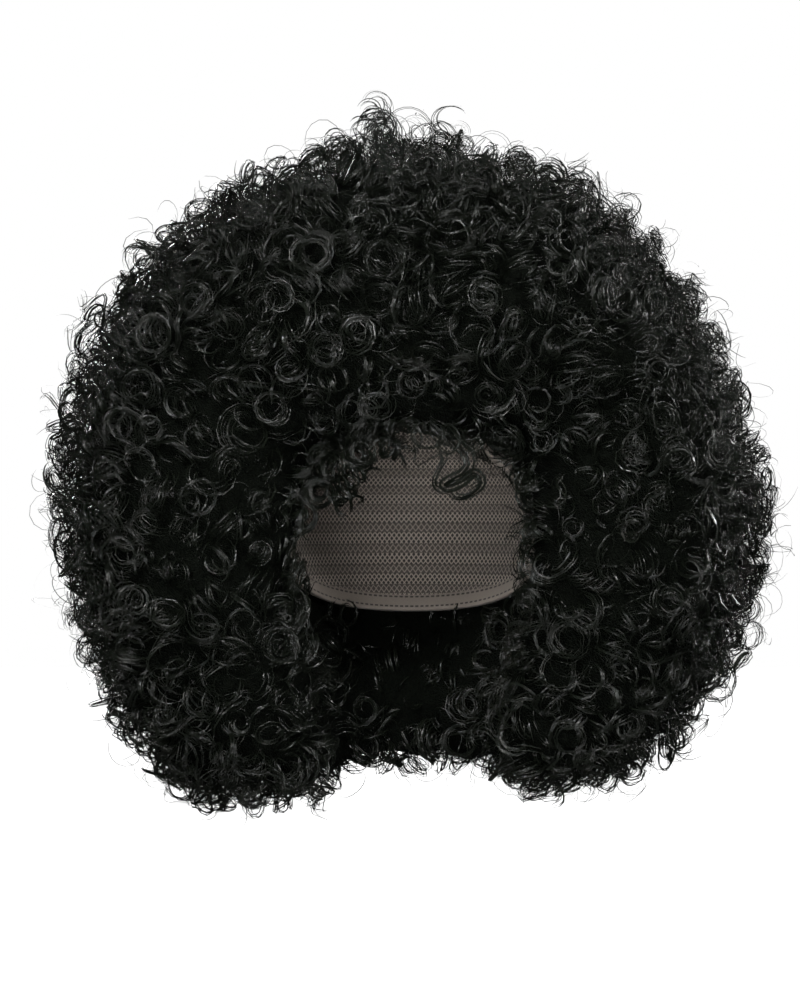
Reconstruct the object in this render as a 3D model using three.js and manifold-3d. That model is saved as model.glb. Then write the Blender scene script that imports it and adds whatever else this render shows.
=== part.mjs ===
// A very large curly afro wig, in millimetres.
//
// +Z is up and the face looks along -Y. The origin is the inside of the cap's crown, where the top of the
// head touches it. The cap is a thin hollow wall. The hair stands out from it all round as one deep mass of
// curls, sewn on in sections: crown, front, two sides and back. The mass leaves room for the head and the
// neck, and it is open over the face. The front row of hair has loose ringlets that fall on the forehead.
import * as THREE from "three";
import { ConvexHull } from "three/addons/math/ConvexHull.js";
import { mergeVertices } from "three/addons/utils/BufferGeometryUtils.js";
import Module from "manifold-3d";

// The head that the cap fits: its half width, its reach to the front and back, and its heights above and
// below its widest level.
const headHalfWidth = 76;
const headFront = 94;
const headBack = 98;
const headAbove = 95;
const headBelow = 110;

// The cap: its wall, its bound edge, and how far below the crown its edge runs.
const capWall = 1.6;
const bindingExtra = 1;
const bindingHeight = 9;
const capFrontDrop = 42;
const capSideDrop = 115;
const capNapeDrop = 150;

// The hair mass, measured from the middle of the head's widest level to the middle of its curls.
const hairHalfWidth = 199;
const hairFront = 172;
const hairBack = 188;
const hairAbove = 211;
const hairBelow = 184;
const hairBottom = 153;

// How widely each swell of the outline spreads, in degrees to either side.
const swellHalfAngle = 20;

// The mass's surface is lumpy: the distance between its lumps, their rise and the valleys among them.
const lumpPitch = 40;
const lumpRise = 4;
const lumpValley = 7;

// The curls that stand out of it: the distance between them, and the ring that one lock winds into.
const curlPitch = 72;
const curlRadius = 14.5;
const curlThickness = 10;
const curlStep = 10;
const curlLift = 1;

// The tuft of loose curls on top.
const tuftHeight = 22;
const tuftHalfWidth = 34;

// The openings for the face and the neck.
const faceHalfWidth = 66;
const faceTopDrop = 47;
const faceWidestDrop = 105;
const jawDrop = 150;
const neckDrop = 196;
const neckHalfWidth = 53;
const neckFront = 56;
const neckBack = 60;
const faceEdgeReach = 100;
const faceEdgeRounding = 0.95;

// The front row's strip and its ringlets.
const fringeStripHeight = 9;
const fringeStripWall = 1.8;
const fringeHalfAngle = 46;
const ringletThickness = 5.5;
const ringletClearance = 2;

// The gaps between pieces, and where the hair's sections meet.
const pieceGap = 0.4;
const crownHalfAngle = 46;
const frontSplitDrop = 62;
const frontHalfAngle = 47;
const backHalfAngle = 45;

// How finely the round pieces are faceted.
const capColumns = 28;
const capRows = 6;
const curlSides = 3;
const lockSides = 4;
const lockStepsPerTurn = 7;
const columnSides = 20;
const stripColumns = 16;

const centre = new THREE.Vector3(0, 0, -headAbove);
const far = 4 * hairHalfWidth;
const turn = 2 * Math.PI;

const wasm = await Module();
wasm.setup();

// A repeatable number from 0 to 1 for each index, so that no two curls are alike.
function scatter(index, kind) {
  const wave = Math.sin(index * 12.9898 + kind * 78.233) * 43758.5453;
  return wave - Math.floor(wave);
}

function solidOf(geometry) {
  const bare = geometry.index ? geometry.toNonIndexed() : geometry.clone();
  bare.deleteAttribute("normal");
  bare.deleteAttribute("uv");
  const merged = mergeVertices(bare, 1e-3);
  return new wasm.Manifold(
    new wasm.Mesh({
      numProp: 3,
      vertProperties: merged.attributes.position.array,
      triVerts: new Uint32Array(merged.index.array),
    })
  );
}

function geometryOf(solid) {
  const { numProp, vertProperties, triVerts } = solid.getMesh();
  const positions = new Float32Array((vertProperties.length / numProp) * 3);
  for (let i = 0; i < positions.length / 3; i++)
    positions.set(vertProperties.subarray(i * numProp, i * numProp + 3), i * 3);
  const geometry = new THREE.BufferGeometry();
  geometry.setAttribute("position", new THREE.BufferAttribute(positions, 3));
  geometry.setIndex(new THREE.BufferAttribute(new Uint32Array(triVerts), 1));
  geometry.computeVertexNormals();
  return geometry;
}

function meshGeometry(points, triangles) {
  const geometry = new THREE.BufferGeometry();
  geometry.setFromPoints(points);
  geometry.setIndex(triangles.flat());
  return geometry;
}

// Cutting leaves crumbs where curls meet a cut, and only the section itself is kept.
function mainBody(solid) {
  return solid.decompose().reduce((most, body) => (body.volume() > most.volume() ? body : most));
}

// A point on the head's egg shape, grown by an offset. Azimuth 0 faces the front and polar 0 is the crown.
function headPoint(azimuth, polar, offset) {
  const reach = Math.cos(azimuth) > 0 ? headFront : headBack;
  const height = polar < Math.PI / 2 ? headAbove : headBelow;
  return new THREE.Vector3(
    (headHalfWidth + offset) * Math.sin(polar) * Math.sin(azimuth),
    -(reach + offset) * Math.sin(polar) * Math.cos(azimuth),
    (height + offset) * Math.cos(polar) - headAbove
  );
}

// The polar angle at which the head lies a given drop below its crown.
function polarAt(drop) {
  return drop < headAbove
    ? Math.acos(1 - drop / headAbove)
    : Math.PI / 2 + Math.asin(Math.min(1, (drop - headAbove) / headBelow));
}

// The drop of the cap's edge, by azimuth: high over the forehead, low over the ears, lowest at the nape.
function capEdgeDrop(azimuth) {
  const middle = (capFrontDrop + capNapeDrop) / 4 + capSideDrop / 2;
  const lean = (capFrontDrop - capNapeDrop) / 2;
  const bow = (capFrontDrop + capNapeDrop) / 4 - capSideDrop / 2;
  return middle + lean * Math.cos(azimuth) + bow * Math.cos(2 * azimuth);
}

// The thin cap: rows from the crown to its edge, inside and outside, thicker along the bound edge.
function capGeometry() {
  const points = [];
  const triangles = [];
  const rings = [];
  const addRing = (shareOf, offset) => {
    rings.push(points.length);
    for (let column = 0; column < capColumns; column++) {
      const azimuth = (turn * column) / capColumns;
      points.push(headPoint(azimuth, shareOf(azimuth), offset));
    }
  };
  const edge = (azimuth) => polarAt(capEdgeDrop(azimuth));
  const bindingTop = (azimuth) => polarAt(capEdgeDrop(azimuth) - bindingHeight);
  const outerCrown = points.push(headPoint(0, 0, capWall)) - 1;
  for (let row = 1; row <= capRows; row++)
    addRing((azimuth) => (bindingTop(azimuth) * row) / capRows, capWall);
  addRing(bindingTop, capWall + bindingExtra);
  addRing(edge, capWall + bindingExtra);
  addRing(edge, 0);
  for (let row = capRows; row >= 1; row--)
    addRing((azimuth) => (bindingTop(azimuth) * row) / capRows, 0);
  const innerCrown = points.push(headPoint(0, 0, 0)) - 1;
  for (let column = 0; column < capColumns; column++) {
    const next = (column + 1) % capColumns;
    triangles.push([outerCrown, rings[0] + column, rings[0] + next]);
    for (let ring = 0; ring + 1 < rings.length; ring++) {
      const [upper, lower] = [rings[ring], rings[ring + 1]];
      triangles.push([upper + column, lower + column, lower + next]);
      triangles.push([upper + column, lower + next, upper + next]);
    }
    const last = rings[rings.length - 1];
    triangles.push([last + column, innerCrown, last + next]);
  }
  return meshGeometry(points, triangles);
}

// The room that the hair leaves for the head in its cap. Its flats sink in between its corners, and the
// room is larger by as much.
function headRoom() {
  const flats = headBack * (Math.cos(Math.PI / capColumns) ** -2 - 1);
  const offset = capWall + bindingExtra + pieceGap + flats;
  const geometry = new THREE.SphereGeometry(1, capColumns, capColumns / 2);
  const position = geometry.attributes.position;
  for (let i = 0; i < position.count; i++) {
    const direction = new THREE.Vector3().fromBufferAttribute(position, i);
    const polar = Math.acos(THREE.MathUtils.clamp(direction.y, -1, 1));
    const point = headPoint(Math.atan2(direction.x, direction.z), polar, offset);
    position.setXYZ(i, point.x, point.y, point.z);
  }
  return solidOf(geometry);
}

// The room for the neck, an oval column that runs out of the bottom.
function neckRoom() {
  const height = 2 * hairBottom;
  const column = new THREE.CylinderGeometry(1, 1, height, columnSides);
  column.rotateX(Math.PI / 2);
  column.scale(neckHalfWidth, (neckFront + neckBack) / 2, 1);
  column.translate(0, (neckBack - neckFront) / 2, -jawDrop + neckHalfWidth / 2 - height / 2);
  return solidOf(column);
}

// The opening over the face: an arch that is widest at the cheeks and narrows under the jaw. Its left
// shoulder slopes more than its right one.
function faceRoom() {
  const floor = -far / 2;
  const arch = new THREE.Shape();
  arch.moveTo(-neckHalfWidth, floor);
  arch.lineTo(neckHalfWidth, floor);
  arch.lineTo(neckHalfWidth, -neckDrop);
  arch.bezierCurveTo(
    neckHalfWidth, -(neckDrop + jawDrop) / 2,
    faceHalfWidth, -(neckDrop + jawDrop) / 2,
    faceHalfWidth, -jawDrop
  );
  arch.lineTo(faceHalfWidth, -faceWidestDrop);
  arch.bezierCurveTo(
    faceHalfWidth * 0.97, -faceTopDrop * 1.25,
    faceHalfWidth * 0.75, -faceTopDrop,
    faceHalfWidth * 0.15, -faceTopDrop
  );
  arch.bezierCurveTo(
    -faceHalfWidth * 0.25, -faceTopDrop,
    -faceHalfWidth * 0.8, -faceTopDrop * 1.5,
    -faceHalfWidth, -faceWidestDrop
  );
  arch.lineTo(-faceHalfWidth, -jawDrop);
  arch.bezierCurveTo(
    -faceHalfWidth, -(neckDrop + jawDrop) / 2,
    -neckHalfWidth, -(neckDrop + jawDrop) / 2,
    -neckHalfWidth, -neckDrop
  );
  const prism = new THREE.ExtrudeGeometry(arch, { depth: far, bevelEnabled: false, curveSegments: 6 });
  prism.rotateX(Math.PI / 2);
  return solidOf(prism);
}

// How far the hair mass reaches from its centre along a direction: an egg, cut flat underneath.
function massReach(direction) {
  const alongX = direction.x / hairHalfWidth;
  const alongY = direction.y / (direction.y < 0 ? hairFront : hairBack);
  const alongZ = direction.z / (direction.z < 0 ? hairBelow : hairAbove);
  const egg = 1 / Math.hypot(alongX, alongY, alongZ);
  const flat = direction.z < 0 ? hairBottom / -direction.z : Infinity;
  const corner = 10;
  return (egg ** -corner + flat ** -corner) ** (-1 / corner);
}

// How far a direction lies outside the face opening, as the tangent of an angle, seen from the centre.
function besideFace(direction) {
  if (direction.y >= -0.05) return faceEdgeRounding;
  const across = Math.abs(direction.x / direction.y);
  const up = -direction.z / direction.y;
  const edgeAcross = faceHalfWidth / Math.sqrt(faceEdgeReach ** 2 - faceHalfWidth ** 2);
  const edgeUp = (headAbove - faceTopDrop) / headFront;
  const outAcross = across - edgeAcross;
  const outUp = up - edgeUp;
  if (outAcross > 0 && outUp > 0) return Math.hypot(outAcross, outUp);
  return Math.max(outAcross, outUp);
}

// Where the round outline swells or dips, seen from the front: the bearing in degrees, clockwise from the
// top, and the lift as a share of the hair's half width.
const outlineSwells = [
  { bearing: 28, lift: 0.02 },
  { bearing: 62, lift: -0.035 },
  { bearing: 138, lift: 0.065 },
  { bearing: 218, lift: 0.13 },
  { bearing: 272, lift: -0.02 },
  { bearing: 318, lift: 0.045 },
];

// Each swell spreads over the bearings near it, and fades towards the front and the back.
function outlineSwell(direction) {
  const spread = Math.cos(THREE.MathUtils.degToRad(swellHalfAngle));
  const fade = 1 - direction.y ** 2;
  return outlineSwells.reduce((sum, { bearing, lift }) => {
    const angle = THREE.MathUtils.degToRad(bearing);
    const near = direction.x * Math.sin(angle) + direction.z * Math.cos(angle);
    return sum + hairHalfWidth * lift * fade * Math.exp((near - 1) / (1 - spread));
  }, 0);
}

// The mass swells a little under its tuft, and rounds off towards the face as a thick rolled edge.
function hairReach(direction) {
  const fromTop = (Math.hypot(direction.x, direction.y) * hairAbove) / tuftHalfWidth;
  const swell = direction.z > 0 ? 0.25 * tuftHeight * Math.exp(-(fromTop ** 2)) : 0;
  const full = massReach(direction) + outlineSwell(direction) + swell;
  const beside = besideFace(direction) / faceEdgeRounding;
  if (beside >= 1) return full;
  if (beside <= 0) return faceEdgeReach * Math.max(0.35, 1 + 1.5 * beside);
  return faceEdgeReach + (full - faceEdgeReach) * Math.sqrt(1 - (1 - beside) ** 2);
}

// Directions spread evenly over a sphere, each a little out of line.
function evenDirections(count) {
  const golden = Math.PI * (3 - Math.sqrt(5));
  return Array.from({ length: count }, (_, i) => {
    const height = 1 - (2 * i + 1) / count;
    const azimuth = golden * i + 0.7 * (scatter(i, 1) - 0.5) * Math.sqrt(turn / count);
    const round = Math.sqrt(1 - height * height);
    return new THREE.Vector3(round * Math.cos(azimuth), round * Math.sin(azimuth), height);
  });
}

// The triangles that join directions over the whole sphere, as lists of their indices.
function joinDirections(directions) {
  const indexOf = new Map(directions.map((direction, i) => [direction, i]));
  return new ConvexHull().setFromPoints(directions).faces.map((face) => {
    const corners = [];
    let edge = face.edge;
    do {
      corners.push(indexOf.get(edge.head().point));
      edge = edge.next;
    } while (edge !== face.edge);
    return corners;
  });
}

// Two directions at right angles to a direction, turned by an angle.
function frameAt(direction, angle) {
  const side = new THREE.Vector3(0, 0, 1).cross(direction);
  if (side.lengthSq() < 1e-6) side.set(1, 0, 0);
  side.normalize().applyAxisAngle(direction, angle);
  return [side, direction.clone().cross(side)];
}

function placeAt(direction, reach) {
  return direction.clone().multiplyScalar(reach).add(centre);
}

// Where the mass's surface lies along a direction, and which way is out of it.
function surfaceAt(direction) {
  const point = placeAt(direction, hairReach(direction));
  const step = 0.02;
  const [across, along] = frameAt(direction, 0).map((way) => {
    const beside = direction.clone().addScaledVector(way, step).normalize();
    return placeAt(beside, hairReach(beside)).sub(point);
  });
  return { direction, point, outward: across.cross(along).normalize() };
}

// Places spread over the surface: of many directions, each one that is clear of the places before it.
function spreadPlaces(pitch, keep) {
  const candidates = Math.round(20 * turn * (hairHalfWidth / pitch) ** 2);
  const places = [];
  for (const direction of evenDirections(candidates)) {
    if (!keep(direction)) continue;
    const place = surfaceAt(direction);
    if (places.every((other) => other.point.distanceTo(place.point) > pitch)) places.push(place);
  }
  return places;
}

// The mass under the curls: a lump at each place, and a valley where three lumps meet.
function lumpyMass() {
  const places = spreadPlaces(lumpPitch, () => true);
  const points = places.map(({ point, outward }) => point.clone().addScaledVector(outward, lumpRise));
  for (const corners of joinDirections(places.map((place) => place.direction))) {
    const middle = new THREE.Vector3();
    const outward = new THREE.Vector3();
    for (const corner of corners) {
      middle.addScaledVector(places[corner].point, 1 / corners.length);
      outward.addScaledVector(places[corner].outward, 1 / corners.length);
    }
    points.push(middle.addScaledVector(outward, -lumpValley));
  }
  const directions = points.map((point) => point.clone().sub(centre).normalize());
  return solidOf(meshGeometry(points, joinDirections(directions)));
}

// The middle line of a lock of hair that winds round an axis while its middle travels along.
class Coil extends THREE.Curve {
  constructor({ start, axis, firstWay, radius, turns, travel }) {
    super();
    Object.assign(this, { start, firstWay, radius, turns, travel });
    this.secondWay = axis.clone().cross(firstWay);
  }
  getPoint(t, target = new THREE.Vector3()) {
    const angle = turn * this.turns * t;
    return target
      .copy(this.start)
      .addScaledVector(this.firstWay, this.radius * Math.cos(angle))
      .addScaledVector(this.secondWay, this.radius * Math.sin(angle))
      .addScaledVector(this.travel, t);
  }
}

function lockGeometry(curve, thickness, sides, steps) {
  const section = new THREE.Shape();
  for (let k = 0; k < sides; k++) {
    const angle = (turn * (k + 0.5)) / sides;
    const x = (thickness / 2) * Math.cos(angle);
    const y = (thickness / 2) * Math.sin(angle);
    if (k) section.lineTo(x, y);
    else section.moveTo(x, y);
  }
  section.closePath();
  return new THREE.ExtrudeGeometry(section, { steps, bevelEnabled: false, extrudePath: curve });
}

// A curl that stands out of the mass by about half its size. Most curls lie open to the outside, and some
// stand on edge.
function curlAt({ point, outward }, index, lift) {
  const [side, up] = frameAt(outward, turn * scatter(index, 5));
  const lean = 0.5 * Math.PI * scatter(index, 8) ** 0.6;
  const axis = outward.clone().multiplyScalar(Math.cos(lean)).addScaledVector(side, Math.sin(lean));
  const radius = curlRadius * (0.85 + 0.3 * scatter(index, 6));
  const turns = 1.15 + 0.3 * scatter(index, 7);
  const travel = axis.clone().multiplyScalar(curlStep * turns);
  const start = point.clone().addScaledVector(outward, lift).addScaledVector(travel, -0.5);
  const coil = new Coil({ start, axis, firstWay: up, radius, turns, travel });
  return solidOf(lockGeometry(coil, curlThickness, curlSides, Math.round(lockStepsPerTurn * turns)));
}

// The tuft's curls: their places across and along as shares of its half width, and their lift as a share
// of its height.
const tuftCurls = [
  { across: -0.9, along: -0.5, lift: 0.4 },
  { across: -0.45, along: 0.3, lift: 0.6 },
  { across: 0, along: -0.4, lift: 0.75 },
  { across: 0.4, along: 0.4, lift: 0.5 },
  { across: 0.9, along: -0.3, lift: 0.35 },
];

function standingCurls() {
  const curls = tuftCurls.map(({ across, along, lift }, i) => {
    const direction = new THREE.Vector3(across * tuftHalfWidth, along * tuftHalfWidth, hairAbove).normalize();
    return curlAt(surfaceAt(direction), i, lift * tuftHeight);
  });
  const places = spreadPlaces(curlPitch, (direction) => besideFace(direction) > 0.04);
  curls.push(...places.map((place, i) => curlAt(place, i + tuftCurls.length, curlLift)));
  return curls.reduce((all, curl) => all.add(curl));
}

// Where the ringlets pass the mass, it leaves room for them.
function ringletRoom() {
  const extra = (2 * pieceGap) / Math.cos(Math.PI / lockSides);
  return ringlets.map((ringlet) => ringletOf(ringlet, extra)).reduce((all, room) => all.add(room));
}

function hairMass() {
  const hollow = headRoom().add(neckRoom()).add(faceRoom()).add(ringletRoom());
  return lumpyMass().add(standingCurls()).subtract(hollow);
}

// The space over the crown, a cone that opens upwards from the head's middle, lowered by a shift.
function crownCone(lowered) {
  const slope = Math.tan(THREE.MathUtils.degToRad(crownHalfAngle));
  const cone = new THREE.ConeGeometry(far * slope, far, columnSides);
  cone.rotateX(-Math.PI / 2);
  cone.translate(centre.x, centre.y, centre.z + far / 2 - lowered);
  return solidOf(cone);
}

// A wedge of space round the vertical axis, from one height up to another, shrunk by half a gap.
function sector(fromAngle, toAngle, low, high) {
  const middle = (fromAngle + toAngle) / 2;
  const half = (toAngle - fromAngle) / 2;
  const setBack = pieceGap / 2 / Math.sin(half);
  const heading = (angle, reach) => [reach * Math.sin(angle), -reach * Math.cos(angle)];
  const [apexX, apexY] = heading(middle, setBack);
  const wedge = new THREE.Shape();
  wedge.moveTo(apexX, apexY);
  for (const angle of [fromAngle, middle, toAngle]) {
    const [x, y] = heading(angle, far);
    wedge.lineTo(apexX + x, apexY + y);
  }
  wedge.closePath();
  const geometry = new THREE.ExtrudeGeometry(wedge, { depth: high - low, bevelEnabled: false });
  geometry.translate(0, 0, low);
  return solidOf(geometry);
}

// The sections of hair, cut from the mass a small gap apart.
function hairSections() {
  const mass = hairMass();
  const lowered = pieceGap / Math.sin(THREE.MathUtils.degToRad(crownHalfAngle));
  const below = mass.subtract(crownCone(lowered));
  const frontAngle = THREE.MathUtils.degToRad(frontHalfAngle);
  const backAngle = Math.PI - THREE.MathUtils.degToRad(backHalfAngle);
  const front = sector(-frontAngle, frontAngle, -frontSplitDrop + pieceGap / 2, far);
  const back = sector(backAngle, turn - backAngle, -far, far);
  const besideFront = sector(frontAngle, backAngle, -far, far);
  const underFront = sector(0, frontAngle + pieceGap / faceHalfWidth, -far, -frontSplitDrop - pieceGap / 2);
  const side = besideFront.add(underFront);
  return {
    hair_crown: mainBody(mass.intersect(crownCone(0))),
    hair_front: mainBody(below.intersect(front)),
    hair_left: mainBody(below.intersect(side.mirror([1, 0, 0]))),
    hair_right: mainBody(below.intersect(side)),
    hair_back: mainBody(below.intersect(back)),
  };
}

// The ringlets of the fringe, hung from its strip: their place around it and their lean as shares of the
// strip's half angle, and their drop and radius as shares of the face's half width.
const ringlets = [
  { around: -0.9, lean: 0.1, drop: 0.34, radius: 0.15, turns: 1.6 },
  { around: -0.66, lean: 0.05, drop: 0.12, radius: 0.12, turns: 1.3 },
  { around: -0.33, lean: -0.05, drop: 0.06, radius: 0.12, turns: 1.4 },
  { around: 0.02, lean: 0.05, drop: 0.1, radius: 0.13, turns: 1.5 },
  { around: 0.33, lean: 0.2, drop: 0.5, radius: 0.14, turns: 2.4 },
  { around: 0.72, lean: -0.05, drop: 0.08, radius: 0.12, turns: 1.3 },
];

// A ringlet that starts on the strip and winds down the forehead, each turn a little further out.
function ringletOf({ around, lean, drop, radius, turns }, extra = 0) {
  const halfAngle = THREE.MathUtils.degToRad(fringeHalfAngle);
  const coilRadius = radius * faceHalfWidth;
  const topDrop = capEdgeDrop(around * halfAngle) + pieceGap + fringeStripHeight / 2 + coilRadius;
  const start = headPoint(around * halfAngle, polarAt(topDrop), fringeStripWall);
  const bottomDrop = topDrop + drop * faceHalfWidth;
  const end = headPoint((around + lean) * halfAngle, polarAt(bottomDrop), fringeStripWall);
  const firstWay = start.clone().sub(end).normalize();
  const axis = start.clone().setZ(0).projectOnPlane(firstWay).normalize();
  const travel = end.clone().sub(start).addScaledVector(axis, (ringletThickness + ringletClearance) * turns);
  const coil = new Coil({ start, axis, firstWay, radius: coilRadius, turns, travel });
  const steps = Math.round(lockStepsPerTurn * turns);
  return solidOf(lockGeometry(coil, ringletThickness + extra, lockSides, steps));
}

// The front row: a strip along the cap's front edge, with its ringlets grown from it.
function fringe() {
  const halfAngle = THREE.MathUtils.degToRad(fringeHalfAngle);
  const points = [];
  const triangles = [];
  for (let column = 0; column <= stripColumns; column++) {
    const azimuth = halfAngle * ((2 * column) / stripColumns - 1);
    const top = capEdgeDrop(azimuth) + pieceGap;
    const bottom = top + fringeStripHeight;
    points.push(
      headPoint(azimuth, polarAt(top), fringeStripWall),
      headPoint(azimuth, polarAt(bottom), fringeStripWall),
      headPoint(azimuth, polarAt(bottom), 0),
      headPoint(azimuth, polarAt(top), 0)
    );
  }
  for (let column = 0; column < stripColumns; column++)
    for (let k = 0; k < 4; k++) {
      const [a, b] = [4 * column + k, 4 * column + ((k + 1) % 4)];
      triangles.push([a, b, b + 4], [a, b + 4, a + 4]);
    }
  const last = 4 * stripColumns;
  triangles.push([0, 3, 2], [0, 2, 1], [last, last + 1, last + 2], [last, last + 2, last + 3]);
  let strip = solidOf(meshGeometry(points, triangles));
  for (const ringlet of ringlets) strip = strip.add(ringletOf(ringlet));
  return strip;
}

const capFabric = new THREE.MeshStandardMaterial({ color: 0xaea297, roughness: 0.9, metalness: 0 });
const blackHair = new THREE.MeshStandardMaterial({ color: 0x0d0c0b, roughness: 0.45, metalness: 0 });

const wig = new THREE.Group();

function addPiece(name, geometry, material) {
  const mesh = new THREE.Mesh(geometry, material);
  mesh.name = name;
  wig.add(mesh);
}

addPiece("wig_cap", capGeometry(), capFabric);
for (const [name, section] of Object.entries(hairSections()))
  addPiece(name, geometryOf(section), blackHair.clone());
addPiece("fringe", geometryOf(fringe()), blackHair.clone());

export default wig;
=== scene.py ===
import math

import bmesh
import bpy
import numpy as np
from bpy.props import FloatProperty, FloatVectorProperty, IntProperty, PointerProperty
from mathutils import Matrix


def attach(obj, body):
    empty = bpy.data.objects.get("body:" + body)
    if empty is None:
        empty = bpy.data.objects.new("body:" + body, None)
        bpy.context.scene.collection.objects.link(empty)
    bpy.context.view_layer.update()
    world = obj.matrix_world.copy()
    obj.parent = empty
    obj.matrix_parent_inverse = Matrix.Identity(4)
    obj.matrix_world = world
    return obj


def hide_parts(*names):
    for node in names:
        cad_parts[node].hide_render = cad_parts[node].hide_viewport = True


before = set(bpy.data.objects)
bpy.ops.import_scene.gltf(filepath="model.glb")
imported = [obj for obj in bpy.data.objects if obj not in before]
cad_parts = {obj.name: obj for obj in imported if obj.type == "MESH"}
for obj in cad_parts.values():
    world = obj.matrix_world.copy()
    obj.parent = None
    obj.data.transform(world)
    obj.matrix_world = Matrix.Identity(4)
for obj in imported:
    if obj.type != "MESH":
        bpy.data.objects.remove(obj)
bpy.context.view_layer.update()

bl_info = {
    "name": "Curly afro wig",
    "version": (1, 0, 0),
    "blender": (4, 5, 0),
    "location": "3D View > Sidebar > Wig",
    "description": "Dresses the packed wig with its net cap, curls, ringlets and loose strands",
    "category": "Object",
}

# The head's middle, at the widest level of the head, from which all the hair radiates.
HEAD_ABOVE = 0.095
MIDDLE = np.array([0.0, 0.0, -HEAD_ABOVE])
TURN = 2 * math.pi
SEED = 20


class WigSizes(bpy.types.PropertyGroup):
    head_half_width: FloatProperty(
        name="Head half width", description="Half the width of the head that the cap fits",
        default=0.076, unit="LENGTH")
    head_front: FloatProperty(
        name="Head front", description="Reach of the head to the front of its middle",
        default=0.094, unit="LENGTH")
    head_back: FloatProperty(
        name="Head back", description="Reach of the head to the back of its middle",
        default=0.098, unit="LENGTH")
    head_below: FloatProperty(
        name="Head below", description="Height of the head's round form under its middle",
        default=0.110, unit="LENGTH")
    cap_wall: FloatProperty(
        name="Cap wall", description="Thickness of the stretch net", default=0.0016, unit="LENGTH")
    cap_front_drop: FloatProperty(
        name="Cap front drop", description="Depth of the cap's edge below its crown at the forehead",
        default=0.042, unit="LENGTH")
    cap_side_drop: FloatProperty(
        name="Cap side drop", description="Depth of the cap's edge below its crown at the ears",
        default=0.115, unit="LENGTH")
    cap_nape_drop: FloatProperty(
        name="Cap nape drop", description="Depth of the cap's edge below its crown at the nape",
        default=0.150, unit="LENGTH")
    weft_spacing: FloatProperty(
        name="Weft spacing", description="Distance between the sewn rows of hair",
        default=0.011, unit="LENGTH")
    hair_half_width: FloatProperty(
        name="Hair half width", description="Reach of the hair to each side",
        default=0.199, unit="LENGTH")
    hair_front: FloatProperty(
        name="Hair front", description="Reach of the hair's egg to the front",
        default=0.172, unit="LENGTH")
    hair_back: FloatProperty(
        name="Hair back", description="Reach of the hair to the back", default=0.188, unit="LENGTH")
    hair_above: FloatProperty(
        name="Hair above", description="Reach of the hair over the head's middle",
        default=0.211, unit="LENGTH")
    hair_below: FloatProperty(
        name="Hair below", description="Reach of the hair's egg under the head's middle",
        default=0.184, unit="LENGTH")
    hair_bottom: FloatProperty(
        name="Hair bottom", description="Level at which the hair is cut off under the head's middle",
        default=0.153, unit="LENGTH")
    tuft_height: FloatProperty(
        name="Tuft height", description="How far the loose tuft stands over the crown",
        default=0.022, unit="LENGTH")
    tuft_half_width: FloatProperty(
        name="Tuft half width", description="Half the width of the loose tuft",
        default=0.034, unit="LENGTH")
    face_half_width: FloatProperty(
        name="Face half width", description="Half the width of the opening over the face",
        default=0.066, unit="LENGTH")
    face_top_drop: FloatProperty(
        name="Face top drop", description="Depth of the opening's top below the crown",
        default=0.047, unit="LENGTH")
    neck_half_width: FloatProperty(
        name="Neck half width", description="Half the width of the gap at the neck",
        default=0.053, unit="LENGTH")
    face_edge_reach: FloatProperty(
        name="Face edge reach", description="Reach of the hair's edge beside the face",
        default=0.100, unit="LENGTH")
    curl_spacing: FloatProperty(
        name="Curl spacing", description="Least distance between two curls", default=0.0196, unit="LENGTH")
    curl_radius: FloatProperty(
        name="Curl radius", description="Radius of the ring that a curl winds into",
        default=0.0118, unit="LENGTH")
    curl_travel: FloatProperty(
        name="Curl travel", description="How far a curl winds along its axis",
        default=0.014, unit="LENGTH")
    loose_count: IntProperty(
        name="Loose strands", description="How many single strands stand out of the curls",
        default=2700, min=0)


class WigColours(bpy.types.PropertyGroup):
    hair_dark: FloatVectorProperty(
        name="Hair, dark", description="Colour of the darkest fibres", subtype="COLOR", size=3,
        default=(0.0024, 0.0034, 0.0020))
    hair_light: FloatVectorProperty(
        name="Hair, light", description="Colour of the lightest fibres", subtype="COLOR", size=3,
        default=(0.0092, 0.0112, 0.0080))
    cap_net: FloatVectorProperty(
        name="Cap net", description="Colour of the cap's net", subtype="COLOR", size=3,
        default=(0.420, 0.360, 0.310))
    floor: FloatVectorProperty(
        name="Floor", description="Colour of the floor and backdrop", subtype="COLOR", size=3,
        default=(0.86, 0.86, 0.86))


# Where the round outline swells or dips, seen from the front: the bearing in degrees, clockwise from
# the top, and the lift as a share of the hair's half width.
OUTLINE_SWELLS = [
    {"bearing": 31, "lift": 0.018},
    {"bearing": 62, "lift": -0.025},
    {"bearing": 92, "lift": 0.010},
    {"bearing": 138, "lift": 0.040},
    {"bearing": 218, "lift": 0.110},
    {"bearing": 290, "lift": 0.025},
    {"bearing": 318, "lift": 0.045},
]
SWELL_HALF_ANGLE = math.radians(20)

# How sharply the round mass turns into its flat underside, and the share of the tuft's height by which
# the mass itself rises under it.
CORNER_POWER = 10
TUFT_SHARE = 0.1

# The opening's half width at each drop below the crown, to the right and to the left, as shares of the
# opening's greatest half width.
FACE_STATIONS = [
    {"drop": 0.047, "right": 0.45, "left": -0.20},
    {"drop": 0.052, "right": 0.72, "left": 0.45},
    {"drop": 0.062, "right": 0.90, "left": 0.72},
    {"drop": 0.080, "right": 0.97, "left": 0.88},
    {"drop": 0.105, "right": 1.00, "left": 1.00},
    {"drop": 0.150, "right": 1.00, "left": 1.00},
    {"drop": 0.196, "right": 0.80, "left": 0.80},
    {"drop": 0.400, "right": 0.80, "left": 0.80},
]

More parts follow.
